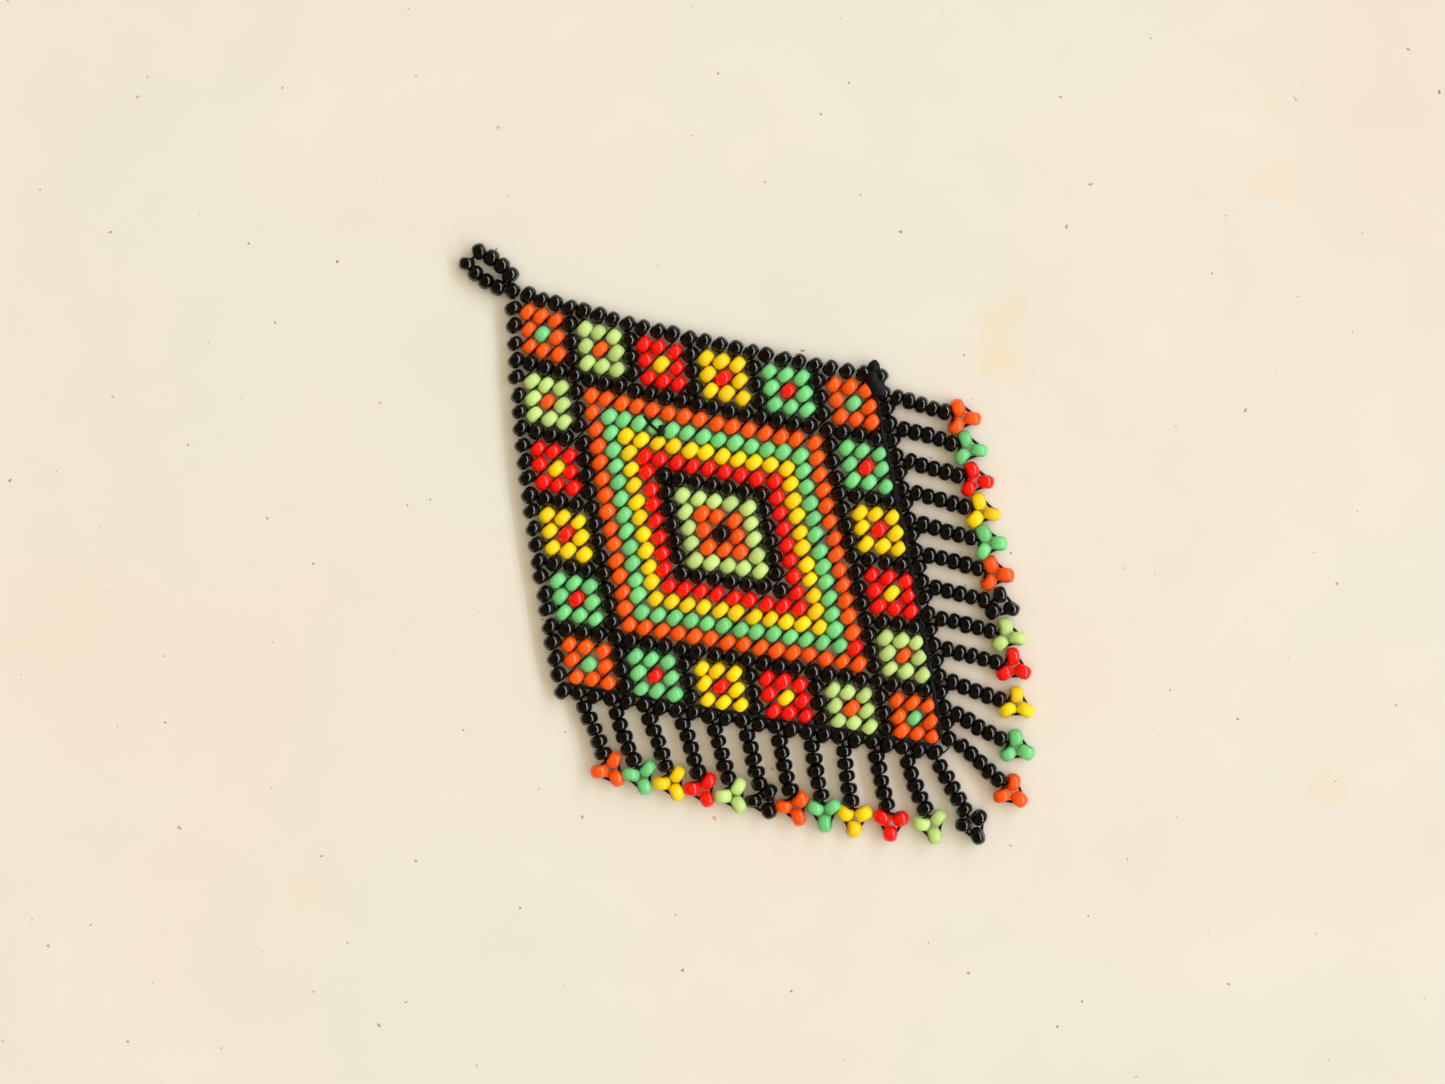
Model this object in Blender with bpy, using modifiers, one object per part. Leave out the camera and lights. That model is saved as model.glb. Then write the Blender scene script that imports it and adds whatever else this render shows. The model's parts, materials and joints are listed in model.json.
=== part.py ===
"""Bead-woven diamond pendant with a hanging loop and a fringe of 24 bead strands.

The pendant lies on its back: X runs along the bead rows, +Y towards the loop, and +Z out
of the patterned front. The origin is under the middle bead of the diamond, on the surface
it lies on. The diamond is woven in brick stitch from rows of glass seed beads, every bead
hole along Y, so it folds along the thread between two rows. It is cut at seven of those
threads into eight bands, and each band is one solid with its beads as relief on both faces.
Each strand swings where its thread leaves the edge bead, and its three-bead tip swings
where the thread leaves the last bead of the strand.
"""

from math import atan2, pi, radians, sin

import bmesh
import bpy
from mathutils import Matrix, Vector

NAME = "beaded_diamond_pendant"
MM = 0.001
GAP = 0.3 * MM
MERGE = 0.05 * MM
TOUCHING = 0.001 * MM
BEAD_SIDES = 6

# The woven diamond
BEADS_PER_SIDE = 25
MIDDLE_ROW = BEADS_PER_SIDE - 1
ROWS = 2 * BEADS_PER_SIDE - 2
ROWS_PER_BAND = 6
ROOT_BAND = 4
BEAD_PITCH = 2.335 * MM
BEAD_HEIGHT = 2.2 * MM
BEAD_LENGTH = 1.6 * MM
MID_Z = BEAD_HEIGHT / 2
GROOVE_Z = MID_Z + 0.25 * MM
BEAD_SHOULDER = 0.3 * MM
END_TRIM = 0.1 * MM

# How the weave has settled: rows crowd towards both ends and wander off the centre line
HALF_LENGTH = 41.16 * MM
CROWDING = 1.06 * MM
LEAN = 0.845 * MM
BOW = 1.93 * MM
SWEEP = 1.78 * MM

# The strands of the fringe
STRAND_BEADS = 5
STRAND_PITCH = 1.54 * MM
STRAND_RADIUS = 0.88 * MM
STRAND_SHOULDER = 0.26
THREAD_RADIUS = 0.4 * MM
FIRST_STRAND_ROW = MIDDLE_ROW + 1
SWING_OUT = 0.5 * MM
SWING_DOWN = BEAD_LENGTH / 2 + 0.2 * MM
STRANDS_PER_SIDE = MIDDLE_ROW // 2

# How far a strand leans out from straight down, in degrees: at the outermost strand, where
# the fan is widest, and at the bottom corner. It closes slowly at first, then faster.
FAN_WIDEST = 8
FAN_CLOSING = 1.5
LEFT_FAN = (22, 36, 16)
RIGHT_FAN = (29, 31, 3)

# The three-bead tips
PETALS = 3
PETAL_OFFSET = 1.22 * MM
PETAL_RADIUS = 0.9 * MM
PETAL_LENGTH = 1.3 * MM
TIP_REACH = 1.25 * MM
TIP_HUB_RADIUS = 0.62 * MM
TIP_HUB_HEIGHT = 0.6 * MM

# The hanging loop: pairs of beads side by side, leaning to the left and bulging halfway up
LOOP_PAIRS = 4
LOOP_FOOT = 1.75 * MM
LOOP_PITCH = 1.63 * MM
LOOP_HALF_WIDTH = 1.1 * MM
LOOP_BULGE = 0.35 * MM
LOOP_LEAN = 0.23 * MM
LOOP_BEAD_RADIUS = 0.95 * MM
LOOP_BEAD_LENGTH = 1.35 * MM
LOOP_BEAD_CHAMFER = 0.35 * MM
LOOP_HINGE_UP = BEAD_LENGTH / 2 + 0.15 * MM

# The thread knots that show on the front
KNOT_RADIUS = 0.65 * MM
KNOT_FLATNESS = 0.7
CORNER_KNOT = Vector((0.4 * MM, -0.5 * MM))
FRONT_KNOT = Vector((4.0 * MM, 14.8 * MM))

COLOURS = {
    "black": (0.010, 0.009, 0.008),
    "orange": (0.96, 0.13, 0.005),
    "red": (0.92, 0.015, 0.005),
    "yellow": (0.96, 0.62, 0.003),
    "green": (0.15, 0.60, 0.20),
    "pale_green": (0.52, 0.76, 0.24),
}
BLACK_ROUGHNESS = 0.12
COLOUR_ROUGHNESS = 0.25
LEFT_TIPS = (
    "orange green yellow red pale_green black orange green yellow red pale_green black"
).split()
RIGHT_TIPS = (
    "orange green red yellow green orange black pale_green red yellow green orange"
).split()

# The pattern: ring colours out from the middle bead, then flowers as (petals, heart)
RINGS = "black orange pale_green black red yellow green orange".split()
UPPER_FLOWERS = (
    ("orange", "green"),
    ("pale_green", "orange"),
    ("red", "yellow"),
    ("yellow", "red"),
    ("green", "red"),
    ("orange", "green"),
)
LOWER_FLOWERS = (
    ("orange", "green"),
    ("green", "red"),
    ("yellow", "red"),
    ("red", "yellow"),
    ("pale_green", "orange"),
    ("orange", "green"),
)
FLOWER_PITCH = 4

# One bead of the outer ring was strung in the wrong colour
STRAY_BEAD = (19, 18)
STRAY_COLOUR = "red"


def clear_scene():
    for thing in list(bpy.data.objects):
        bpy.data.objects.remove(thing, do_unlink=True)


def glass(name, colour):
    """A glossy glass material in one of the bead colours."""
    material = bpy.data.materials.new(name)
    material.use_nodes = True
    shader = material.node_tree.nodes["Principled BSDF"]
    shader.inputs["Base Color"].default_value = (*COLOURS[colour], 1)
    roughness = BLACK_ROUGHNESS if colour == "black" else COLOUR_ROUGHNESS
    shader.inputs["Roughness"].default_value = roughness
    shader.inputs["Metallic"].default_value = 0.0
    return material


def new_object(name, mesh, collection, colours):
    """An object with one material for each colour, linked into the collection."""
    thing = bpy.data.objects.new(name, mesh)
    for colour in colours:
        mesh.materials.append(glass(f"{name}_{colour}", colour))
    collection.objects.link(thing)
    return thing


def mesh_from(bm, name):
    bmesh.ops.recalc_face_normals(bm, faces=bm.faces)
    mesh = bpy.data.meshes.new(name)
    bm.to_mesh(mesh)
    bm.free()
    return mesh


# ---- The weave ----


def row_fraction(row):
    """-1 at the top row, 0 at the widest row, 1 at the bottom corner."""
    return (row - MIDDLE_ROW) / MIDDLE_ROW


def row_x(row):
    t = row_fraction(row)
    return LEAN * t + BOW * t**2 - SWEEP * t**3


def row_y(row):
    t = row_fraction(row)
    return CROWDING * t**3 - HALF_LENGTH * t


def beads_in(row):
    return min(row, 2 * MIDDLE_ROW - row) + 1


def bead_x(row, place):
    """The middle of a bead, counted from the left end of its row."""
    return row_x(row) + (place - (beads_in(row) - 1) / 2) * BEAD_PITCH


def between(row):
    """The y of the thread line above a row."""
    if row == 0:
        return row_y(0) + BEAD_LENGTH / 2
    if row == ROWS:
        return row_y(ROWS - 1) - BEAD_LENGTH / 2
    return (row_y(row - 1) + row_y(row)) / 2


def bead_colour(row, place):
    """The colour by the bead's steps along the two upper edges from the top bead."""
    left_start = max(0, row - MIDDLE_ROW)
    right = left_start + place
    left = row - right
    middle = MIDDLE_ROW // 2
    ring = max(abs(right - middle), abs(left - middle))
    if (right, left) == STRAY_BEAD:
        return STRAY_COLOUR
    if ring < len(RINGS):
        return RINGS[ring]
    if ring == len(RINGS) or right % FLOWER_PITCH == 0 or left % FLOWER_PITCH == 0:
        return "black"
    near, far = sorted((right // FLOWER_PITCH, left // FLOWER_PITCH))
    petals, heart = UPPER_FLOWERS[far] if near == 0 else LOWER_FLOWERS[near]
    is_heart = right % FLOWER_PITCH == left % FLOWER_PITCH == FLOWER_PITCH // 2
    return heart if is_heart else petals


def add_row(bm, corner, row, top_y, bottom_y, seams):
    """The beads of one row: a flat crest each, and four slopes down to the thread grooves."""
    for place in range(beads_in(row)):
        west = seams[row][place]
        east = seams[row][place + 1]
        inset = BEAD_SHOULDER
        crest = [
            bm.verts.new((west + inset, top_y - inset, BEAD_HEIGHT)),
            bm.verts.new((west + inset, bottom_y + inset, BEAD_HEIGHT)),
            bm.verts.new((east - inset, bottom_y + inset, BEAD_HEIGHT)),
            bm.verts.new((east - inset, top_y - inset, BEAD_HEIGHT)),
        ]
        low, high = west - TOUCHING, east + TOUCHING
        north_line = [v for v in corner[row] if low < v.co.x < high]
        south_line = [v for v in corner[row + 1] if low < v.co.x < high]
        faces = [
            bm.faces.new(crest),
            bm.faces.new([crest[1], crest[0], north_line[0], south_line[0]]),
            bm.faces.new([crest[3], crest[2], south_line[-1], north_line[-1]]),
            bm.faces.new([crest[0], crest[3], *reversed(north_line)]),
            bm.faces.new([crest[2], crest[1], *south_line]),
        ]
        slot = list(COLOURS).index(bead_colour(row, place))
        for face in faces:
            face.material_index = slot


def row_seams(row):
    """Where one bead of a row meets the next, with the two ends trimmed a little."""
    ends = beads_in(row)
    seams = [bead_x(row, place) - BEAD_PITCH / 2 for place in range(ends + 1)]
    seams[0] += END_TRIM
    seams[-1] -= END_TRIM
    return seams


def make_band(number, collection):
    """One band of rows: its front half, mirrored to the back, with half a gap at each fold."""
    first = (number - 1) * ROWS_PER_BAND
    rows = range(first, first + ROWS_PER_BAND)
    seams = {row: row_seams(row) for row in rows}
    lines = {line: between(line) for line in range(first, first + ROWS_PER_BAND + 1)}
    if first > 0:
        lines[first] -= GAP / 2
    if first + ROWS_PER_BAND < ROWS:
        lines[first + ROWS_PER_BAND] += GAP / 2

    bm = bmesh.new()
    corner = {}
    for line, y in lines.items():
        places = sorted(x for row in (line - 1, line) for x in seams.get(row, ()))
        distinct = [
            x for n, x in enumerate(places) if n == 0 or x - places[n - 1] > TOUCHING
        ]
        corner[line] = [bm.verts.new((x, y, GROOVE_Z)) for x in distinct]
    for row in rows:
        add_row(bm, corner, row, lines[row], lines[row + 1], seams)

    rim = [edge for edge in bm.edges if edge.is_boundary]
    for piece in bmesh.ops.extrude_edge_only(bm, edges=rim)["geom"]:
        if isinstance(piece, bmesh.types.BMVert):
            piece.co.z = MID_Z

    fold_y = between(first) if number > ROOT_BAND else between(first + ROWS_PER_BAND)
    origin = Vector((0, 0 if number == ROOT_BAND else fold_y, MID_Z))
    bmesh.ops.translate(bm, verts=bm.verts, vec=-origin)
    name = f"panel_band_{number}"
    band = new_object(name, mesh_from(bm, name), collection, COLOURS)
    band.location = origin
    back = band.modifiers.new("back", "MIRROR")
    back.use_axis = (False, False, True)
    back.merge_threshold = MERGE
    return band


# ---- The fringe ----


def edge_bead(side, row):
    """The middle of the bead at the left (-1) or right (+1) end of a row."""
    place = 0 if side < 0 else beads_in(row) - 1
    return Vector((bead_x(row, place), row_y(row), MID_Z))


def lean_of_strand(fan, n):
    """The lean of strand n: in even steps out to the widest strand, then back in."""
    outermost, widest, last = fan
    if n <= FAN_WIDEST:
        return outermost + (widest - outermost) * n / FAN_WIDEST
    closing = (n - FAN_WIDEST) / (STRANDS_PER_SIDE - 1 - FAN_WIDEST)
    return widest + (last - widest) * closing**FAN_CLOSING


def strand_mesh(name):
    """A chain of beads turned about Z that hangs down from the origin, for a Screw."""
    shoulder = STRAND_SHOULDER * STRAND_PITCH
    profile = [(0.0, -GAP / 2), (THREAD_RADIUS, -GAP / 2)]
    for n in range(STRAND_BEADS):
        middle = -(GAP / 2 + STRAND_PITCH * (n + 0.5))
        profile.append((STRAND_RADIUS, middle + shoulder))
        profile.append((STRAND_RADIUS, middle - shoulder))
        profile.append((THREAD_RADIUS, middle - STRAND_PITCH / 2))
    profile.append((0.0, profile[-1][1]))
    mesh = bpy.data.meshes.new(name)
    points = [(x, 0.0, z) for x, z in profile]
    mesh.from_pydata(points, [(n, n + 1) for n in range(len(points) - 1)], [])
    return mesh


def turned(thing, sides):
    screw = thing.modifiers.new("turn", "SCREW")
    screw.axis = "Z"
    screw.steps = sides
    screw.render_steps = sides
    screw.use_merge_vertices = True
    screw.merge_threshold = MERGE
    screw.use_smooth_shade = False


def lying(angle):
    """Turns a piece that hangs along -Z into the plane, at an angle from -Y towards +X."""
    return Matrix.Rotation(angle, 4, "Z") @ Matrix.Rotation(-pi / 2, 4, "X")


def rod(radius, length, place, chamfer=0.0):
    """A closed six-sided rod along Z, its ends chamfered, moved by a matrix."""
    bm = bmesh.new()
    bmesh.ops.create_cone(
        bm,
        cap_ends=True,
        segments=BEAD_SIDES,
        radius1=radius,
        radius2=radius,
        depth=length,
    )
    if chamfer:
        rims = [e for e in bm.edges if abs(e.verts[0].co.z - e.verts[1].co.z) < MERGE]
        bmesh.ops.bevel(bm, geom=rims, offset=chamfer, segments=1, affect="EDGES")
    bmesh.ops.transform(bm, matrix=place, verts=bm.verts)
    return bm


def petal(turn):
    """One bead of a tip, its hole across the line from the middle of the tip."""
    out = Matrix.Rotation(turn, 4, "Y") @ Matrix.Translation((0, 0, -PETAL_OFFSET))
    across = Matrix.Rotation(pi / 2, 4, "Y") @ Matrix.Rotation(pi / 6, 4, "Z")
    return rod(PETAL_RADIUS, PETAL_LENGTH, out @ across)


def joined(base, others, name):
    """Unites closed shapes into one solid, and returns its mesh."""
    scratch = []
    for n, bm in enumerate([base, *others]):
        thing = bpy.data.objects.new(f"scratch_{n}", mesh_from(bm, f"scratch_{n}"))
        bpy.context.scene.collection.objects.link(thing)
        scratch.append(thing)
    for other in scratch[1:]:
        union = scratch[0].modifiers.new("union", "BOOLEAN")
        union.operation = "UNION"
        union.solver = "EXACT"
        union.object = other
    bpy.context.view_layer.update()
    solid = scratch[0].evaluated_get(bpy.context.evaluated_depsgraph_get())
    mesh = bpy.data.meshes.new_from_object(solid)
    mesh.name = name
    for thing in scratch:
        bpy.data.objects.remove(thing, do_unlink=True)
    return mesh


def tip_mesh():
    """Three beads about a knot, the middle TIP_REACH below the origin and one bead on down."""
    hub = rod(TIP_HUB_RADIUS, TIP_HUB_HEIGHT, Matrix.Rotation(pi / 2, 4, "X"))
    petals = [petal(n * 2 * pi / PETALS) for n in range(PETALS)]
    mesh = joined(hub, petals, "tip")
    mesh.transform(Matrix.Translation((0, 0, -TIP_REACH)))
    return mesh


def make_fringe(bands, collection):
    """Both sides of the fringe, each strand and its tip hinged where the thread bends."""
    tip_solid = tip_mesh()
    sides = (
        ("left", -1, LEFT_FAN, LEFT_TIPS),
        ("right", 1, RIGHT_FAN, RIGHT_TIPS),
    )
    for word, side, fan, colours in sides:
        for n, colour in enumerate(colours):
            row = FIRST_STRAND_ROW + 2 * n
            hinge = edge_bead(side, row) + Vector((side * SWING_OUT, -SWING_DOWN, 0))
            name = f"{word}_strand_{n + 1:02d}"
            strand = new_object(name, strand_mesh(name), collection, ["black"])
            turned(strand, BEAD_SIDES)
            lean = side * radians(lean_of_strand(fan, n))
            place = Matrix.Translation(hinge) @ lying(lean)
            strand.matrix_world = place
            hang_on(strand, bands[row // ROWS_PER_BAND])

            name = f"{word}_tip_{n + 1:02d}"
            tip = new_object(name, tip_solid.copy(), collection, [colour])
            strand_end = Matrix.Translation((0, 0, -(GAP + STRAND_BEADS * STRAND_PITCH)))
            tip.matrix_world = place @ strand_end
            hang_on(tip, strand)


def hang_on(child, parent):
    """Parents a piece without moving it."""
    bpy.context.view_layer.update()
    world = child.matrix_world.copy()
    child.parent = parent
    child.matrix_parent_inverse = parent.matrix_world.inverted()
    child.matrix_world = world


# ---- The loop and the knots ----


def loop_places():
    """The middles of the loop's beads from the top bead, up the right side, down the left."""
    right, left = [], []
    for n in range(LOOP_PAIRS):
        middle = -LOOP_LEAN * n
        half = LOOP_HALF_WIDTH + LOOP_BULGE * sin(pi * n / (LOOP_PAIRS - 1))
        height = LOOP_FOOT + LOOP_PITCH * n
        right.append(Vector((middle + half, height, 0)))
        left.append(Vector((middle - half, height, 0)))
    return right + left[::-1]


def make_loop(top_band, collection):
    """A ring of beads on one thread, hinged at the top of the first bead of the diamond."""
    apex = Vector((row_x(0), row_y(0), MID_Z))
    points = [apex + place for place in loop_places()]
    beads = []
    for n, point in enumerate(points):
        ahead = points[min(n + 1, len(points) - 1)]
        behind = points[max(n - 1, 0)]
        along = ahead - behind
        turn = Matrix.Rotation(atan2(along.y, along.x), 4, "Z")
        place = Matrix.Translation(point) @ turn @ Matrix.Rotation(pi / 2, 4, "Y")
        beads.append(rod(LOOP_BEAD_RADIUS, LOOP_BEAD_LENGTH, place, LOOP_BEAD_CHAMFER))
    hinge = apex + Vector((0, LOOP_HINGE_UP, 0))
    thread_points = [hinge + Vector((0, GAP, 0)), *points]
    mesh = joined(thread_ring(thread_points), beads, "hanging_loop")
    mesh.transform(Matrix.Translation(-hinge))
    loop = new_object("hanging_loop", mesh, collection, ["black"])
    loop.location = hinge
    hang_on(loop, top_band)
    return loop


def thread_ring(points):
    """A closed ring of thread through the points, as a bmesh."""
    curve = bpy.data.curves.new("thread", "CURVE")
    curve.dimensions = "3D"
    curve.bevel_depth = THREAD_RADIUS
    curve.bevel_resolution = 1
    spline = curve.splines.new("POLY")
    spline.points.add(len(points) - 1)
    for slot, point in zip(spline.points, points):
        slot.co = (*point, 1)
    spline.use_cyclic_u = True
    thing = bpy.data.objects.new("thread", curve)
    bpy.context.scene.collection.objects.link(thing)
    bpy.context.view_layer.update()
    solid = thing.evaluated_get(bpy.context.evaluated_depsgraph_get())
    bm = bmesh.new()
    bm.from_mesh(solid.to_mesh())
    bpy.data.objects.remove(thing, do_unlink=True)
    bpy.data.curves.remove(curve)
    return bm


def make_knot(name, place, band, collection):
    """A small flat knot of thread on the front of the beads."""
    bm = bmesh.new()
    bmesh.ops.create_icosphere(bm, subdivisions=1, radius=KNOT_RADIUS)
    bmesh.ops.scale(bm, verts=bm.verts, vec=(1.0, 1.0, KNOT_FLATNESS))
    knot = new_object(name, mesh_from(bm, name), collection, ["black"])
    height = BEAD_HEIGHT + GAP + KNOT_FLATNESS * KNOT_RADIUS
    knot.location = (place.x, place.y, height)
    hang_on(knot, band)


def main():
    clear_scene()
    collection = bpy.data.collections.new(NAME)
    bpy.context.scene.collection.children.link(collection)
    bands = [make_band(number + 1, collection) for number in range(ROWS // ROWS_PER_BAND)]
    for number in range(ROOT_BAND, len(bands)):
        hang_on(bands[number], bands[number - 1])
    for number in range(ROOT_BAND - 2, -1, -1):
        hang_on(bands[number], bands[number + 1])
    make_fringe(bands, collection)
    make_loop(bands[0], collection)
    corner = edge_bead(1, MIDDLE_ROW).to_2d() + CORNER_KNOT
    make_knot("corner_knot", corner, bands[MIDDLE_ROW // ROWS_PER_BAND], collection)
    make_knot("front_knot", FRONT_KNOT, bands[2], collection)


main()
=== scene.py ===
import json
import random
from math import atan2, cos, pi, radians, sin

import bmesh
import bpy
import numpy as np
from mathutils import Matrix, Vector, noise


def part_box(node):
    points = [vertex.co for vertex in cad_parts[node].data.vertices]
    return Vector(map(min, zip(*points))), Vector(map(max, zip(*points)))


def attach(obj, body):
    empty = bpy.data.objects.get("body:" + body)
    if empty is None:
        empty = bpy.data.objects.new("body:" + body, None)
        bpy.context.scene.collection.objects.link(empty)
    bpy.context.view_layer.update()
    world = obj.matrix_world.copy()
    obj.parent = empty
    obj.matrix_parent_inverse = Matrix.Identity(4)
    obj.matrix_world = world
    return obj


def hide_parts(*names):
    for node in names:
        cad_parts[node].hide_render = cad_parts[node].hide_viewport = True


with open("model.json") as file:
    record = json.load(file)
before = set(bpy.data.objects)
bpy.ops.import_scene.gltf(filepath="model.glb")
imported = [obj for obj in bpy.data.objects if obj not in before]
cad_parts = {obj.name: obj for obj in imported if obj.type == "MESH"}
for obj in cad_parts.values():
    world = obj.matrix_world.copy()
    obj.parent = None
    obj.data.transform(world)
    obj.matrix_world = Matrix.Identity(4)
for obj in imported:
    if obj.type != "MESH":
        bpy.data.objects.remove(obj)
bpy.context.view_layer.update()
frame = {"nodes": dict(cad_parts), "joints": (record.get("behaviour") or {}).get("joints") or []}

# Visual model of a bead-woven diamond pendant. Every bead of the weave, the fringe, the tips
# and the loop is modelled with its hole, and every thread that shows runs from hole to hole.
# The beads' places come from the CAD bands and the CAD joints.

MM = 0.001
CHANCE = random.Random(24)

# ---- Sizes ----

# A bead is a ring: its outline is a rounded oval turned about the hole, which lies along Y
BEAD_RADIUS = 1.11 * MM
BLACK_RADIUS = 1.11 * MM
HOLE_SHARE = 0.34
BORE_SHARE = 0.88 * HOLE_SHARE
BORE_REACH = 0.82
ROUNDNESS = 2.4
BEAD_AROUND = 18
BEAD_ALONG = 9
SHORTEST = 0.91
LONGEST = 1.04
RADIUS_SPREAD = 0.065

# How far a woven bead strays from its even place, and an edge bead turns outwards
STRAY = 0.07 * MM
TILT = radians(6)
EDGE_TURN = radians(13)
EDGE_TURN_BACK = -0.4 * EDGE_TURN
EDGE_OUT = 0.12 * MM

# The strands, the tips and the loop
STRAND_BEADS = 5
STRAND_STEP = 1.57 * MM
STRAND_BOW = 0.22 * MM
STRAND_SWAY = 0.06 * MM
STRAND_TILT = 2 * TILT
THREAD_BEHIND = 0.5 * MM
PETALS = 3
PETAL_OFFSET = 1.33 * MM
PETAL_HALF_LENGTH = 0.86 * MM
PETAL_TILT = 3 * TILT
TIP_TURN = radians(17)
TIP_ROLL = radians(14)
TIP_DROP = 1.36 * MM
TIP_NECK = 0.45 * MM

# A tip's ring of thread at each bead: turn from the bead in radians, and share of its offset
TIP_RING = ((-0.5, 1.02), (0.0, 0.95), (0.5, 1.02))

LOOP_PAIRS = 4
LOOP_FOOT = 1.66 * MM
LOOP_PITCH = 1.63 * MM
LOOP_HALF_WIDTH = 1.1 * MM
LOOP_BULGE = 0.35 * MM
LOOP_LEAN = 0.23 * MM
LOOP_BEAD_HALF_LENGTH = 0.85 * MM

# The threads. A bridging thread strays at each hole, and halfway to the next one.
THREAD_RADIUS = 0.11 * MM
CORE_RADIUS = 0.19 * MM
TIP_THREAD_RADIUS = 0.19 * MM
TUBE_AROUND = 8
THREAD_PLIES = 3
TWIST_PITCH = 0.55 * MM
HOLE_STRAY = 0.06 * MM
HALFWAY_STRAY = Vector((0, 0.08 * MM, 0.1 * MM))

# The doubled thread along the inside of the two lower edges, from the edge bead's middle
RIGHT_BUNDLE_RADIUS = 0.21 * MM
LEFT_BUNDLE_RADIUS = 0.16 * MM
BUNDLE_INSET = 1.06 * MM
BUNDLE_LIFT = 0.58 * MM
BUNDLE_WANDER = 0.12 * MM
BUNDLE_SPACING = 0.8
BUNDLE_SLANT = 0.5

# The lumps of the two knots: middle, half size and turn, in mm and radians. The corner knot's
# are measured from the right corner bead, the front knot's from the middle of its CAD node.
CORNER_LUMPS = (
    ((-1.15, -0.50, 0.80), (1.00, 1.50, 0.55), 0.05),
    ((-0.70, 0.55, 0.85), (0.95, 0.90, 0.55), -0.5),
    ((0.40, 1.40, 0.30), (0.75, 1.00, 0.68), -0.75),
)
FRONT_LUMPS = (
    ((0, 0, 0), (0.56, 0.50, 0.40), 0.3),
    ((0.45, 0.35, 0), (0.40, 0.36, 0.30), 0.3),
)
FRONT_TAIL = ((-0.1, 0, 0), (-0.2, 1.6, -0.1), (-0.1, 2.9, -0.45))
FRONT_SHIFT = Vector((-0.45, -0.45, 0)) * MM
FRONT_KNOT_Z = 2.15 * MM

# The stone: features per metre, how far a speck reaches in its cell, and the colours
CLOUDS_PER_METRE = 13.0
WORN_PER_METRE = 14.0
RUST_PER_METRE = 34.0
SPECKS_PER_METRE = 85.0
RAGS_PER_METRE = 3000.0
SPECK_REACH = 0.042
COOL_STONE = (0.675, 0.685, 0.64)
WARM_STONE = (0.75, 0.715, 0.68)
WORN_STONE = (0.63, 0.56, 0.48)
RUST = (0.78, 0.60, 0.38)
SPECK = (0.36, 0.27, 0.17)
FLOOR_REACH = 3.0
FLOOR_GAP = 0.02 * MM

# ---- The pattern ----

BEADS_PER_SIDE = 25
MIDDLE_ROW = BEADS_PER_SIDE - 1
ROWS_PER_BAND = 6
BANDS = 8
RINGS = "black orange pale_green black red yellow green orange".split()
UPPER_FLOWERS = (
    ("orange", "green"),
    ("pale_green", "orange"),
    ("red", "yellow"),
    ("yellow", "red"),
    ("green", "red"),
    ("orange", "green"),
)
LOWER_FLOWERS = (
    ("orange", "green"),
    ("green", "red"),
    ("yellow", "red"),
    ("red", "yellow"),
    ("pale_green", "orange"),
    ("orange", "green"),
)
FLOWER_PITCH = 4
STRAY_BEAD = (19, 18)
LEFT_TIPS = (
    "orange green yellow red pale_green black orange green yellow red pale_green black"
).split()
RIGHT_TIPS = (
    "orange green red yellow green orange black pale_green red yellow green orange"
).split()

# Colour, darker colour painted on the bead's ends and hole rim as shade, roughness, gloss, and how
# much light sinks in
GLASS = {
    "black": ((0.0042, 0.0027, 0.0013), (0.003, 0.002, 0.001), 0.08, 0.65, 0.0),
    "orange": ((1.0, 0.104, 0.001), (0.72, 0.04, 0.001), 0.20, 0.56, 0.05),
    "red": ((1.0, 0.006, 0.001), (0.50, 0.002, 0.001), 0.17, 0.60, 0.04),
    "yellow": ((1.0, 0.70, 0.001), (0.86, 0.40, 0.001), 0.30, 0.38, 0.05),
    "green": ((0.185, 0.68, 0.25), (0.07, 0.40, 0.12), 0.25, 0.54, 0.08),
    "pale_green": ((0.54, 0.75, 0.25), (0.33, 0.55, 0.14), 0.33, 0.38, 0.10),
}


def spread(amount):
    return CHANCE.uniform(-amount, amount)


# ---- Materials ----


def new_material(name):
    material = bpy.data.materials.new(name)
    material.use_nodes = True
    return material, material.node_tree, material.node_tree.nodes["Principled BSDF"]


def attribute(tree, name):
    node = tree.nodes.new("ShaderNodeAttribute")
    node.attribute_name = name
    return node


def noise_node(tree, vector, scale, detail):
    node = tree.nodes.new("ShaderNodeTexNoise")
    node.inputs["Scale"].default_value = scale
    node.inputs["Detail"].default_value = detail
    tree.links.new(vector, node.inputs["Vector"])
    return node.outputs["Fac"]


def ramp(tree, value, low, high, to_low, to_high):
    node = tree.nodes.new("ShaderNodeMapRange")
    tree.links.new(value, node.inputs["Value"])
    node.inputs["From Min"].default_value = low
    node.inputs["From Max"].default_value = high
    node.inputs["To Min"].default_value = to_low
    node.inputs["To Max"].default_value = to_high
    return node.outputs["Result"]


def math_node(tree, operation, first, second):
    node = tree.nodes.new("ShaderNodeMath")
    node.operation = operation
    tree.links.new(first, node.inputs[0])
    tree.links.new(second, node.inputs[1])
    return node.outputs["Value"]


def mix(tree, share, first, second):
    """Mixes two colours. A colour is a triple or a socket."""
    node = tree.nodes.new("ShaderNodeMix")
    node.data_type = "RGBA"
    tree.links.new(share, node.inputs["Factor"])
    for name, colour in (("A", first), ("B", second)):
        socket = next(s for s in node.inputs if s.name == name and s.type == "RGBA")
        if isinstance(colour, tuple):
            socket.default_value = (*colour, 1)
        else:
            tree.links.new(colour, socket)
    return next(s for s in node.outputs if s.type == "RGBA")


def blend_values(tree, share, first, second):
    """Mixes two numbers. Each is a plain number or a socket."""
    node = tree.nodes.new("ShaderNodeMix")
    tree.links.new(share, node.inputs[0])
    for socket, value in zip(node.inputs[2:4], (first, second)):
        if isinstance(value, float):
            socket.default_value = value
        else:
            tree.links.new(value, socket)
    return node.outputs[0]


def stretched(tree, vector, scale):
    node = tree.nodes.new("ShaderNodeMapping")
    node.inputs["Scale"].default_value = scale
    tree.links.new(vector, node.inputs["Vector"])
    return node.outputs["Vector"]


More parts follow.
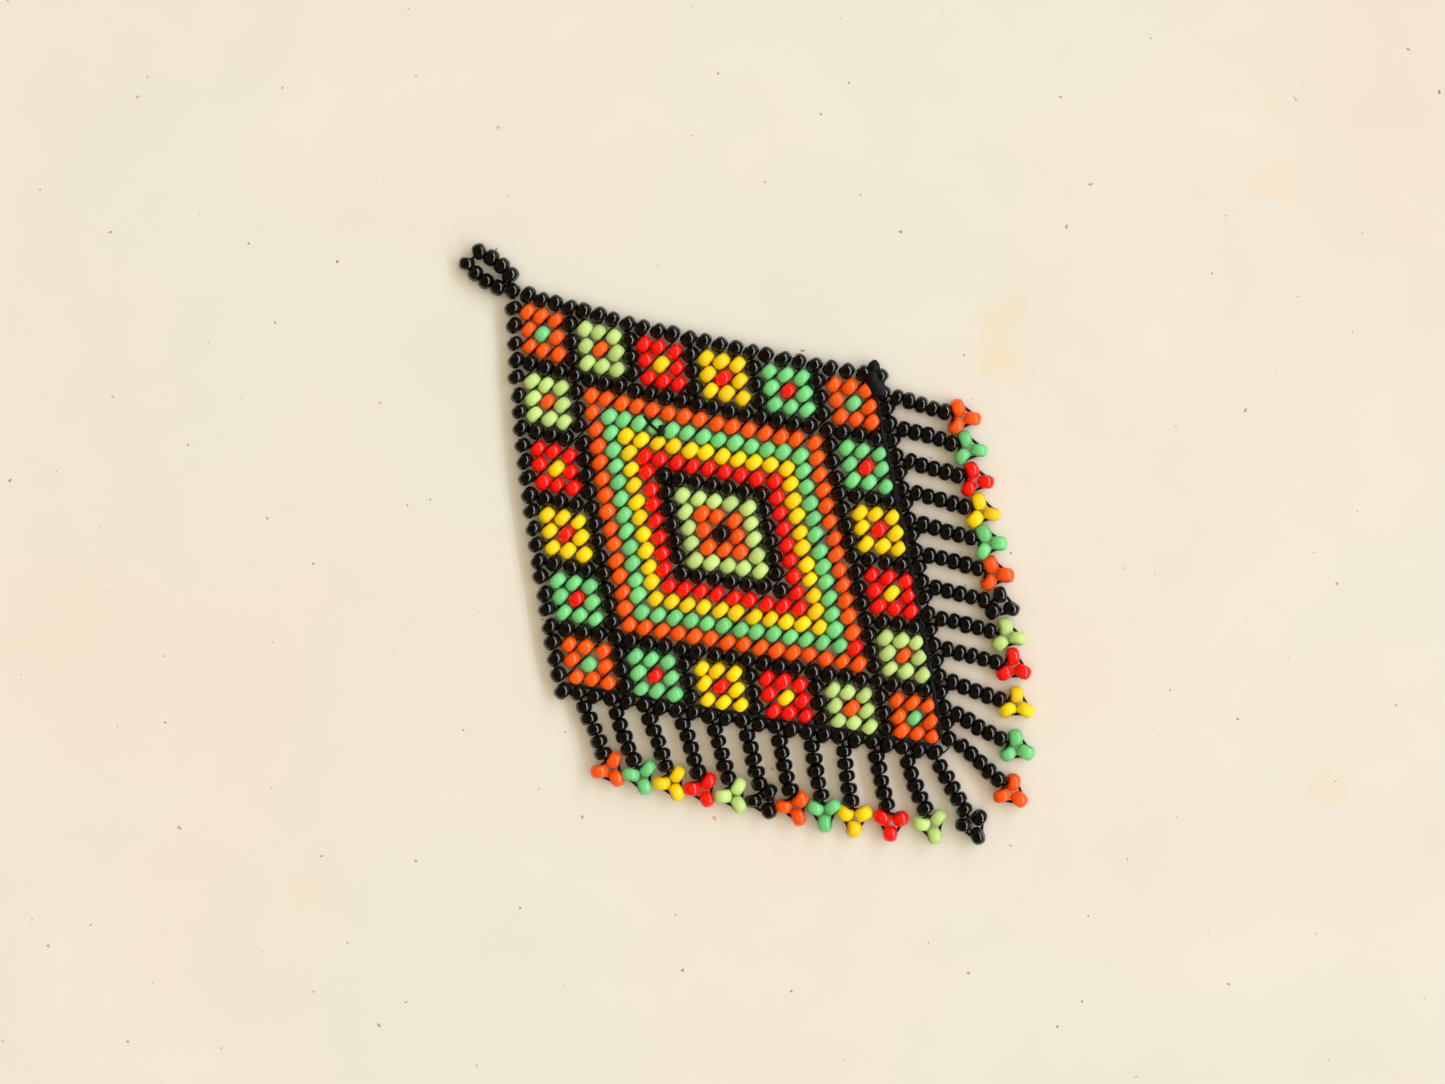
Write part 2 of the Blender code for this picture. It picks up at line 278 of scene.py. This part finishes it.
def add_bump(tree, shader, height, strength, distance):
    node = tree.nodes.new("ShaderNodeBump")
    node.inputs["Strength"].default_value = strength
    node.inputs["Distance"].default_value = distance
    tree.links.new(height, node.inputs["Height"])
    tree.links.new(node.outputs["Normal"], shader.inputs["Normal"])


def glass(name, colour, rim_shade_colour, roughness, gloss, sinking):
    """Seed-bead glass: batch variation, drawn streaks along the hole, and painted shade that
    darkens the bead's ends and the rim of its hole.
    """
    material, tree, shader = new_material(name)
    grain = attribute(tree, "grain").outputs["Vector"]
    tone = attribute(tree, "tone").outputs["Fac"]
    rim_shade = attribute(tree, "rim_shade").outputs["Fac"]

    paler = tuple(min(1.0, c * 1.08) for c in colour)
    deeper = tuple(c * 0.84 for c in colour)
    batch = mix(tree, ramp(tree, tone, -1, 1, 0, 1), deeper, paler)
    streaks = noise_node(tree, stretched(tree, grain, (5.0, 0.7, 5.0)), 1.6, 3)
    streaked = mix(tree, ramp(tree, streaks, 0.42, 0.72, 0, 0.4), batch, deeper)
    # Painted shade: the colour darkens towards the bead's ends and into its hole, where the
    # neighbouring beads shade it.
    shaded = mix(tree, ramp(tree, rim_shade, 0.70, 1.0, 0, 0.9), streaked, rim_shade_colour)
    tree.links.new(shaded, shader.inputs["Base Color"])

    haze = noise_node(tree, grain, 2.2, 4)
    tree.links.new(
        ramp(tree, haze, 0.3, 0.7, roughness * 0.75, roughness * 1.35),
        shader.inputs["Roughness"],
    )
    add_bump(tree, shader, streaks, 0.18, 0.03 * MM)
    shader.inputs["IOR"].default_value = 1.52
    shader.inputs["Specular IOR Level"].default_value = gloss
    shader.inputs["Subsurface Weight"].default_value = sinking
    shader.inputs["Subsurface Scale"].default_value = 0.4 * MM
    return material


def thread_material():
    """Waxed black thread: plies twisted about each other, with a dusty fibre on top."""
    material, tree, shader = new_material("waxed_thread")
    grain = attribute(tree, "grain").outputs["Vector"]
    plies = tree.nodes.new("ShaderNodeTexWave")
    plies.wave_type = "BANDS"
    plies.bands_direction = "X"
    plies.inputs["Scale"].default_value = 1 / pi
    plies.inputs["Distortion"].default_value = 0.6
    tree.links.new(grain, plies.inputs["Vector"])
    fibres = noise_node(tree, grain, 3.0, 5)
    ply_colour = mix(tree, plies.outputs["Fac"], (0.003, 0.002, 0.002), (0.008, 0.006, 0.005))
    dusty = mix(tree, ramp(tree, fibres, 0.5, 0.8, 0, 0.5), ply_colour, (0.013, 0.010, 0.008))
    tree.links.new(dusty, shader.inputs["Base Color"])
    tree.links.new(ramp(tree, fibres, 0.3, 0.7, 0.42, 0.68), shader.inputs["Roughness"])
    shader.inputs["Specular IOR Level"].default_value = 0.3
    add_bump(tree, shader, plies.outputs["Fac"], 0.5, 0.04 * MM)
    return material


def floor_material():
    """Pale honed stone: cool and warm clouds, worn and rusty patches, and small ragged specks."""
    material, tree, shader = new_material("pale_stone")
    place = tree.nodes.new("ShaderNodeTexCoord").outputs["Object"]
    clouds = noise_node(tree, place, CLOUDS_PER_METRE, 7)
    worn = noise_node(tree, place, WORN_PER_METRE, 6)
    rust = noise_node(tree, place, RUST_PER_METRE, 4)
    stone = mix(tree, ramp(tree, clouds, 0.38, 0.60, 0, 1), COOL_STONE, WARM_STONE)
    stone = mix(tree, ramp(tree, worn, 0.42, 0.75, 0, 0.45), stone, WORN_STONE)
    stone = mix(tree, ramp(tree, rust, 0.66, 0.78, 0, 0.6), stone, RUST)

    specks = tree.nodes.new("ShaderNodeTexVoronoi")
    specks.voronoi_dimensions = "2D"
    specks.inputs["Scale"].default_value = SPECKS_PER_METRE
    tree.links.new(place, specks.inputs["Vector"])
    rags = noise_node(tree, place, RAGS_PER_METRE, 3)
    ragged = ramp(tree, rags, 0.35, 0.7, 0.0, SPECK_REACH)
    reach = math_node(tree, "MULTIPLY", ragged, specks.outputs["Color"])
    inside = math_node(tree, "LESS_THAN", specks.outputs["Distance"], reach)
    stone = mix(tree, inside, stone, SPECK)
    tree.links.new(stone, shader.inputs["Base Color"])
    shader.inputs["Roughness"].default_value = 0.6
    shader.inputs["Specular IOR Level"].default_value = 0.25
    return material


MATERIALS = {name: glass(f"{name}_glass", *look) for name, look in GLASS.items()}
MATERIALS["thread"] = thread_material()


# ---- Building meshes ----


class Shape:
    """Gathers beads and threads into one mesh, with the attributes that the materials read."""

    def __init__(self):
        self.places = []
        self.faces = []
        self.face_colours = []
        self.tones = []
        self.rim_shades = []
        self.grains = []
        self.colours = []

    def add(self, places, faces, colour, rim_shades, grains):
        start = sum(len(part) for part in self.places)
        if colour not in self.colours:
            self.colours.append(colour)
        self.places.append(places)
        self.faces.extend([[start + n for n in face] for face in faces])
        self.face_colours.extend([self.colours.index(colour)] * len(faces))
        self.tones.append(np.full(len(places), CHANCE.uniform(-1, 1)))
        self.rim_shades.append(rim_shades)
        self.grains.append(grains + CHANCE.uniform(0, 90))

    def piece(self, name, body, slot, replaced=()):
        """Makes the object, which rides on a CAD body and stands for the CAD nodes."""
        mesh = bpy.data.meshes.new(name)
        mesh.from_pydata(np.concatenate(self.places).tolist(), [], self.faces)
        for colour in self.colours:
            mesh.materials.append(MATERIALS[colour])
        mesh.polygons.foreach_set("material_index", self.face_colours)
        # The tone gives each bead its random batch colour; the other attribute marks the bead's
        # ends and hole, where the glass paints shade.
        for label, values in (("tone", self.tones), ("rim_shade", self.rim_shades)):
            layer = mesh.attributes.new(label, "FLOAT", "POINT")
            layer.data.foreach_set("value", np.concatenate(values).astype(np.float32))
        layer = mesh.attributes.new("grain", "FLOAT_VECTOR", "POINT")
        layer.data.foreach_set("vector", np.concatenate(self.grains).astype(np.float32).ravel())
        mesh.shade_smooth()
        thing = bpy.data.objects.new(name, mesh)
        bpy.context.scene.collection.objects.link(thing)
        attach(thing, body)
        if replaced:
            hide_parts(*replaced)
        return thing


def grid_faces(rings, around, closed):
    """Quads between successive rings of points, and from the last ring to the first if closed."""
    faces = []
    for ring in range(rings if closed else rings - 1):
        here = ring * around
        there = (ring + 1) % rings * around
        for n in range(around):
            m = (n + 1) % around
            faces.append([here + n, there + n, there + m, here + m])
    return faces


def unit_bead():
    """A bead of radius 1 and half length 1 with its hole along Y: points and faces."""
    outline = []
    for n in range(BEAD_ALONG):
        angle = pi * n / (BEAD_ALONG - 1) - pi / 2
        out = max(cos(angle), 0) ** (2 / ROUNDNESS)
        along = abs(sin(angle)) ** (2 / ROUNDNESS)
        outline.append((HOLE_SHARE + (1 - HOLE_SHARE) * out, along if angle > 0 else -along))
    outline += [(BORE_SHARE, BORE_REACH), (BORE_SHARE, -BORE_REACH)]
    turns = [2 * pi * n / BEAD_AROUND for n in range(BEAD_AROUND)]
    places = [(r * cos(a), y, r * sin(a)) for r, y in outline for a in turns]
    return np.array(places), grid_faces(len(outline), BEAD_AROUND, closed=True)


UNIT_BEAD, BEAD_FACES = unit_bead()


def add_bead(shape, middle, colour, half_length, turn=0.0, tilt=(0.0, 0.0)):
    """A bead at a place, its hole turned about Z from Y, then tilted about its X and Y.

    A bead that would reach below the table is raised onto it.
    """
    radius = BLACK_RADIUS if colour == "black" else BEAD_RADIUS
    radius *= 1 + spread(RADIUS_SPREAD)
    half_length *= CHANCE.uniform(SHORTEST, LONGEST)
    size = Matrix.Diagonal((radius, half_length, radius))
    pose = (
        Matrix.Rotation(turn, 3, "Z")
        @ Matrix.Rotation(tilt[0], 3, "X")
        @ Matrix.Rotation(tilt[1], 3, "Y")
        @ size
    )
    places = UNIT_BEAD @ np.array(pose).T + np.array(middle)
    places[:, 2] += max(0.0, -places[:, 2].min())
    # The values along the hole mark the bead's ends and hole, where the glass material paints
    # shade.
    shape.add(places, BEAD_FACES, colour, np.abs(UNIT_BEAD[:, 1]), UNIT_BEAD)


def add_tube(shape, points, radius, closed=False):
    """A thread through the points, with its twist laid out for the thread material."""
    points = [Vector(p) for p in points]
    count = len(points)
    places, grains = [], []
    travelled = 0.0
    for n, point in enumerate(points):
        ahead = points[(n + 1) % count] if closed else points[min(n + 1, count - 1)]
        behind = points[n - 1] if closed or n else point
        along = (ahead - behind).normalized()
        side = along.orthogonal() if abs(along.z) > 0.9 else along.cross(Vector((0, 0, 1)))
        side.normalize()
        up = side.cross(along)
        if n:
            travelled += (point - points[n - 1]).length
        for step in range(TUBE_AROUND):
            angle = 2 * pi * step / TUBE_AROUND
            places.append(point + radius * (cos(angle) * side + sin(angle) * up))
            grains.append((travelled / TWIST_PITCH + THREAD_PLIES * sin(angle) / 2, angle, 0.0))
    faces = grid_faces(count, TUBE_AROUND, closed)
    if not closed:
        faces.append(list(range(TUBE_AROUND)))
        faces.append([(count - 1) * TUBE_AROUND + n for n in reversed(range(TUBE_AROUND))])
    shape.add(np.array(places), faces, "thread", np.zeros(len(places)), np.array(grains))


# ---- The weave ----


def apart(values, least):
    """Sorted values, with those closer than the least distance merged."""
    kept = []
    for value in sorted(values):
        if not kept or value - kept[-1] > least:
            kept.append(value)
    return kept


def read_rows():
    """The bead middles of each row from the top, left to right, from the CAD bands' crests."""
    near = 0.02 * MM
    rows = []
    for number in range(1, BANDS + 1):
        node = frame["nodes"][f"panel_band_{number}"]
        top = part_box(f"panel_band_{number}")[1].z
        crest = [v.co for v in node.data.vertices if v.co.z > top - near]
        lines = apart([c.y for c in crest], near)[::-1]
        for upper, lower in zip(lines[0::2], lines[1::2]):
            sides = apart([c.x for c in crest if abs(c.y - upper) < near], near)
            middle_y = (upper + lower) / 2
            rows.append(
                [Vector(((a + b) / 2, middle_y, top / 2)) for a, b in zip(sides[0::2], sides[1::2])]
            )
    return rows


def bead_colour(row, place):
    """The colour by the bead's steps along the two upper edges from the top bead."""
    right = max(0, row - MIDDLE_ROW) + place
    left = row - right
    middle = MIDDLE_ROW // 2
    ring = max(abs(right - middle), abs(left - middle))
    if (right, left) == STRAY_BEAD:
        return "red"
    if ring < len(RINGS):
        return RINGS[ring]
    if ring == len(RINGS) or right % FLOWER_PITCH == 0 or left % FLOWER_PITCH == 0:
        return "black"
    near, far = sorted((right // FLOWER_PITCH, left // FLOWER_PITCH))
    petals, heart = UPPER_FLOWERS[far] if near == 0 else LOWER_FLOWERS[near]
    is_heart = right % FLOWER_PITCH == left % FLOWER_PITCH == FLOWER_PITCH // 2
    return heart if is_heart else petals


ROWS = read_rows()


def row_pitch(row):
    """The distance from a row's middle to its neighbours' middles, on average."""
    above = max(row - 1, 0)
    below = min(row + 1, len(ROWS) - 1)
    return (ROWS[above][0].y - ROWS[below][0].y) / (below - above)


def edge_side(row, place):
    """-1 for the bead at the left end of a row, 1 at the right end, 0 between them."""
    if place == 0:
        return -1
    return 1 if place == len(ROWS[row]) - 1 else 0


def add_woven_bead(shapes, row, place):
    """Adds a bead of the weave to the shape of its colour. Edge beads turn and move outwards."""
    side = edge_side(row, place)
    stray = Vector((spread(STRAY), spread(STRAY), spread(STRAY)))
    outwards = Vector((side * EDGE_OUT, 0, 0))
    turn = spread(TILT) + side * (EDGE_TURN if row % 2 else EDGE_TURN_BACK)
    tilt = (spread(TILT), spread(TILT))
    colour = bead_colour(row, place)
    shape = shapes.setdefault(colour, Shape())
    middle = ROWS[row][place] + stray + outwards
    add_bead(shape, middle, colour, row_pitch(row) / 2, turn, tilt)


def make_band(number):
    """One band of rows, its beads in one piece for each colour, and its thread."""
    first = (number - 1) * ROWS_PER_BAND
    body = f"panel_band_{number}"
    shapes = {}
    threads = Shape()
    for row in range(first, first + ROWS_PER_BAND):
        half_pitch = row_pitch(row) / 2
        core = Vector((0, half_pitch, 0))
        for place, middle in enumerate(ROWS[row]):
            add_woven_bead(shapes, row, place)
            add_tube(threads, [middle + core, middle - core], CORE_RADIUS)
        add_bridge(threads, ROWS[row], -half_pitch)
    for n, (colour, shape) in enumerate(shapes.items()):
        replaced = [body] if n == 0 else []
        shape.piece(f"band_{number}_{colour}_beads", body, f"{colour}_glass", replaced)
    threads.piece(f"band_{number}_thread", body, "thread")


def add_bridge(shape, row, offset):
    """The thread from hole to hole along one side of a row."""
    if len(row) < 2:
        return
    points = []
    for n, middle in enumerate(row):
        points.append(middle + Vector((0, offset, spread(HOLE_STRAY))))
        if n + 1 < len(row):
            halfway = (middle + row[n + 1]) / 2
            stray = Vector((0, spread(HALFWAY_STRAY.y), spread(HALFWAY_STRAY.z)))
            points.append(halfway + Vector((0, offset, 0)) + stray)
    add_tube(shape, points, THREAD_RADIUS)


# ---- The doubled thread along the inside of the two lower edges ----


def crevice(side, row):
    """The place of the doubled thread beside a row's edge bead."""
    edge = ROWS[row][-1] if side > 0 else ROWS[row][0]
    return edge + Vector((-side * BUNDLE_INSET, 0, BUNDLE_LIFT))


def bundle_path(side, number):
    """The doubled thread's way down one band, from fold line to fold line."""
    first = (number - 1) * ROWS_PER_BAND
    last = min(first + ROWS_PER_BAND, len(ROWS) - 1) - 1
    path = [crevice(side, row) for row in range(first, last + 1)]
    above = crevice(side, max(first - 1, MIDDLE_ROW))
    below = crevice(side, last + 1)
    return [path[0].lerp(above, 0.5), *path, path[-1].lerp(below, 0.5)]


def add_bundle_thread(shape, path, across, radius):
    """One thread of the pair, wandering a little between the ends of its path."""
    points = [path[0] + across]
    for here, there in zip(path, path[1:]):
        for share in (0.5, 1.0):
            wander = Vector((spread(BUNDLE_WANDER), 0, spread(BUNDLE_WANDER)))
            points.append(here.lerp(there, share) + across + wander)
    points[-1] = path[-1] + across
    add_tube(shape, points, radius)


def make_edge_threads():
    for word, side, radius in (("left", -1, LEFT_BUNDLE_RADIUS), ("right", 1, RIGHT_BUNDLE_RADIUS)):
        for number in range(BANDS // 2 + 1, BANDS + 1):
            shape = Shape()
            for thread in (-1, 1):
                across = Vector((side, BUNDLE_SLANT, 0)) * (thread * BUNDLE_SPACING * radius)
                add_bundle_thread(shape, bundle_path(side, number), across, radius)
            shape.piece(f"{word}_edge_thread_{number}", f"panel_band_{number}", "thread")


# ---- The fringe ----


def joint(name):
    return next(j for j in frame["joints"] if j["name"] == name)


def make_strand(word, number):
    """Five beads on their thread, from the joint at the edge bead to the joint at the tip."""
    name = f"{word}_strand_{number:02d}"
    swing = joint(f"{name}_swing")
    start = Vector(swing["pos_m"])
    end = Vector(joint(f"{word}_tip_{number:02d}_swing")["pos_m"])
    down = (end - start).normalized()
    across = down.cross(Vector((0, 0, 1)))
    bow = spread(STRAND_BOW)
    turn = atan2(-down.x, down.y)
    shape = Shape()
    points = [start - down * THREAD_BEHIND]
    for n in range(STRAND_BEADS):
        share = (n + 0.5) / STRAND_BEADS
        sway = bow * sin(pi * share) + spread(STRAND_SWAY)
        middle = start + down * STRAND_STEP * (n + 0.5) + across * sway
        tilt = (spread(TILT), spread(TILT))
        bent = turn + spread(STRAND_TILT)
        add_bead(shape, middle, "black", STRAND_STEP / 2, bent, tilt)
        points.append(middle)
    points.append(end)
    add_tube(shape, points, TIP_THREAD_RADIUS)
    shape.piece(name + "_beads", name, "black_glass", [name])


def flat_heading(turn):
    """The direction in the plane of the table at a turn from straight up the pendant."""
    return Vector((-sin(turn), cos(turn), 0))


def make_tip(word, number, colour):
    """Three beads in a ring on one loop of thread, one of them pointing on down the strand."""
    name = f"{word}_tip_{number:02d}"
    swing = joint(f"{name}_swing")
    hinge = Vector(swing["pos_m"])
    axis = Vector(swing["axis"])
    down = Vector((axis.y, -axis.x, 0))
    heading = atan2(-down.x, down.y) + spread(TIP_TURN)
    lean = spread(TIP_ROLL)
    roll = Matrix.Rotation(lean, 3, down)
    rise = PETAL_OFFSET * sin(abs(lean))
    middle = hinge + down * TIP_DROP + Vector((0, 0, rise))
    shape = Shape()
    ring = []
    for n in range(PETALS):
        turn = heading + 2 * pi * n / PETALS
        place = middle + roll @ (flat_heading(turn) * PETAL_OFFSET)
        tilt = (spread(PETAL_TILT), spread(PETAL_TILT))
        add_bead(shape, place, colour, PETAL_HALF_LENGTH, turn + pi / 2, tilt)
        for side, share in TIP_RING:
            ring.append(middle + roll @ (flat_heading(turn + side) * PETAL_OFFSET * share))
    add_tube(shape, ring, TIP_THREAD_RADIUS, closed=True)
    add_tube(shape, [hinge, hinge + down * TIP_NECK], TIP_THREAD_RADIUS)
    shape.piece(name + "_beads", name, f"{colour}_glass", [name])


# ---- The loop and the knots ----


def loop_places():
    """The middles of the loop's beads from the top bead, up the right side, down the left."""
    right, left = [], []
    for n in range(LOOP_PAIRS):
        middle = -LOOP_LEAN * n
        half = LOOP_HALF_WIDTH + LOOP_BULGE * sin(pi * n / (LOOP_PAIRS - 1))
        height = LOOP_FOOT + LOOP_PITCH * n
        right.append(Vector((middle + half, height, 0)))
        left.append(Vector((middle - half, height, 0)))
    return right + left[::-1]


def make_loop():
    top = ROWS[0][0]
    places = [top + place for place in loop_places()]
    shape = Shape()
    for n, place in enumerate(places):
        ahead = places[min(n + 1, len(places) - 1)]
        behind = places[max(n - 1, 0)]
        along = ahead - behind
        turn = atan2(-along.x, along.y) + spread(TILT)
        tilt = (spread(TILT), spread(TILT))
        add_bead(shape, place, "black", LOOP_BEAD_HALF_LENGTH, turn, tilt)
    foot = Vector(joint("loop_swing")["pos_m"])
    add_tube(shape, [foot, *places], TIP_THREAD_RADIUS, closed=True)
    shape.piece("hanging_loop_beads", "hanging_loop", "black_glass", ["hanging_loop"])


def add_lump(shape, middle, size, turn):
    """A melted lump of thread: a ball squeezed to a size and roughened."""
    bm = bmesh.new()
    bmesh.ops.create_icosphere(bm, subdivisions=3, radius=1)
    pose = Matrix.Rotation(turn, 3, "Z") @ Matrix.Diagonal(size)
    offset = Vector((CHANCE.uniform(0, 50), 0, 0))
    places = []
    for v in bm.verts:
        swell = 1 + 0.16 * noise.noise(v.co * 1.6 + offset) + 0.05 * noise.noise(v.co * 5 + offset)
        places.append(middle + pose @ (v.co * swell))
    grains = np.array([v.co * 4 for v in bm.verts])
    faces = [[v.index for v in face.verts] for face in bm.faces]
    shape.add(np.array(places), faces, "thread", np.zeros(len(places)), grains)
    bm.free()


def add_lumps(shape, origin, lumps):
    for place, size, turn in lumps:
        add_lump(shape, origin + Vector(place) * MM, Vector(size) * MM, turn)


def make_knots():
    """The melted knot over the right corner bead, and the small knot and its tail on the front."""
    shape = Shape()
    add_lumps(shape, ROWS[MIDDLE_ROW][-1], CORNER_LUMPS)
    shape.piece("corner_knot_thread", "panel_band_5", "thread", ["corner_knot"])

    low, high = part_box("front_knot")
    middle = (low + high) / 2
    middle.z = FRONT_KNOT_Z
    middle += FRONT_SHIFT
    shape = Shape()
    add_lumps(shape, middle, FRONT_LUMPS)
    add_tube(shape, [middle + Vector(place) * MM for place in FRONT_TAIL], TIP_THREAD_RADIUS)
    shape.piece("front_knot_thread", "panel_band_3", "thread", ["front_knot"])


# ---- Floor, light and camera ----


def make_floor():
    bm = bmesh.new()
    bmesh.ops.create_grid(bm, x_segments=8, y_segments=8, size=FLOOR_REACH)
    mesh = bpy.data.meshes.new("floor")
    bm.to_mesh(mesh)
    bm.free()
    mesh.materials.append(floor_material())
    floor = bpy.data.objects.new("floor", mesh)
    floor.location = (0, 0, -FLOOR_GAP)
    bpy.context.scene.collection.objects.link(floor)


# The camera looks straight down, turned so that the long axis runs from upper left to lower
# right. Its view is 182 mm wide where the pendant lies.
CAMERA_TURN = radians(-44.6)
VIEW_WIDTH = 182.0 * MM
VIEW_MIDDLE = Vector((-0.6 * MM, -0.9 * MM, 1.1 * MM))
LENS = 60.0
SENSOR = 36.0


def make_camera():
    data = bpy.data.cameras.new("camera")
    data.lens = LENS
    data.sensor_width = SENSOR
    data.clip_start = 0.01
    camera = bpy.data.objects.new("camera", data)
    distance = VIEW_WIDTH * LENS / SENSOR
    camera.location = VIEW_MIDDLE + Vector((0, 0, distance))
    camera.rotation_euler = (0, 0, CAMERA_TURN)
    bpy.context.scene.collection.objects.link(camera)
    bpy.context.scene.camera = camera


# Two panes of one wide window: name, elevation in degrees, height in metres, power in watts.
# Its bearing is from the right of the picture, towards the top.
PANES = (("window_low", 36, 0.35, 125), ("window_high", 46, 0.5, 225))
WINDOW_BEARING = radians(8)
WINDOW_DISTANCE = 5.0
WINDOW_WIDTH = 13.0
WINDOW_COLOUR = (0.84, 0.92, 1.0)

# The room: its colour, how strongly it lights things from the side and from overhead, how
# strongly the beads mirror it there, and how bright it looks behind the floor
ROOM_COLOUR = (1.0, 0.85, 0.60)
ROOM_LIGHT = (0.385, 2.1)
ROOM_MIRRORED = (0.11, 0.03)
BACKDROP = 0.92


def add_pane(name, elevation, height, power):
    data = bpy.data.lights.new(name, "AREA")
    data.shape = "RECTANGLE"
    data.size = WINDOW_WIDTH
    data.size_y = height
    data.energy = power
    data.color = WINDOW_COLOUR
    light = bpy.data.objects.new(name, data)
    turn = CAMERA_TURN + WINDOW_BEARING
    rise = radians(elevation)
    away = Vector((cos(turn) * cos(rise), sin(turn) * cos(rise), sin(rise)))
    light.location = VIEW_MIDDLE + away * WINDOW_DISTANCE
    light.rotation_euler = away.to_track_quat("Z", "Y").to_euler()
    bpy.context.scene.collection.objects.link(light)


def make_room():
    """A warm room, brightest overhead.

    The beads mirror it much dimmer than it lights them, as if the viewer stood in its light.
    """
    world = bpy.data.worlds.new("room")
    world.use_nodes = True
    tree = world.node_tree
    background = tree.nodes["Background"]
    background.inputs["Color"].default_value = (*ROOM_COLOUR, 1)
    height = tree.nodes.new("ShaderNodeSeparateXYZ")
    tree.links.new(tree.nodes.new("ShaderNodeTexCoord").outputs["Generated"], height.inputs[0])
    lighting = ramp(tree, height.outputs["Z"], 0.7, 1.0, *ROOM_LIGHT)
    mirrored = ramp(tree, height.outputs["Z"], 0.7, 0.9, *ROOM_MIRRORED)
    ray = tree.nodes.new("ShaderNodeLightPath").outputs
    unseen = blend_values(tree, ray["Is Glossy Ray"], lighting, mirrored)
    strength = blend_values(tree, ray["Is Camera Ray"], unseen, BACKDROP)
    tree.links.new(strength, background.inputs["Strength"])
    world.cycles.sampling_method = "NONE"
    bpy.context.scene.world = world
    bpy.context.scene.view_settings.view_transform = "Standard"


def main():
    for number in range(1, BANDS + 1):
        make_band(number)
    make_edge_threads()
    for word, colours in (("left", LEFT_TIPS), ("right", RIGHT_TIPS)):
        for n, colour in enumerate(colours):
            make_strand(word, n + 1)
            make_tip(word, n + 1, colour)
    make_loop()
    make_knots()
    make_floor()
    make_camera()
    for pane in PANES:
        add_pane(*pane)
    make_room()


main()
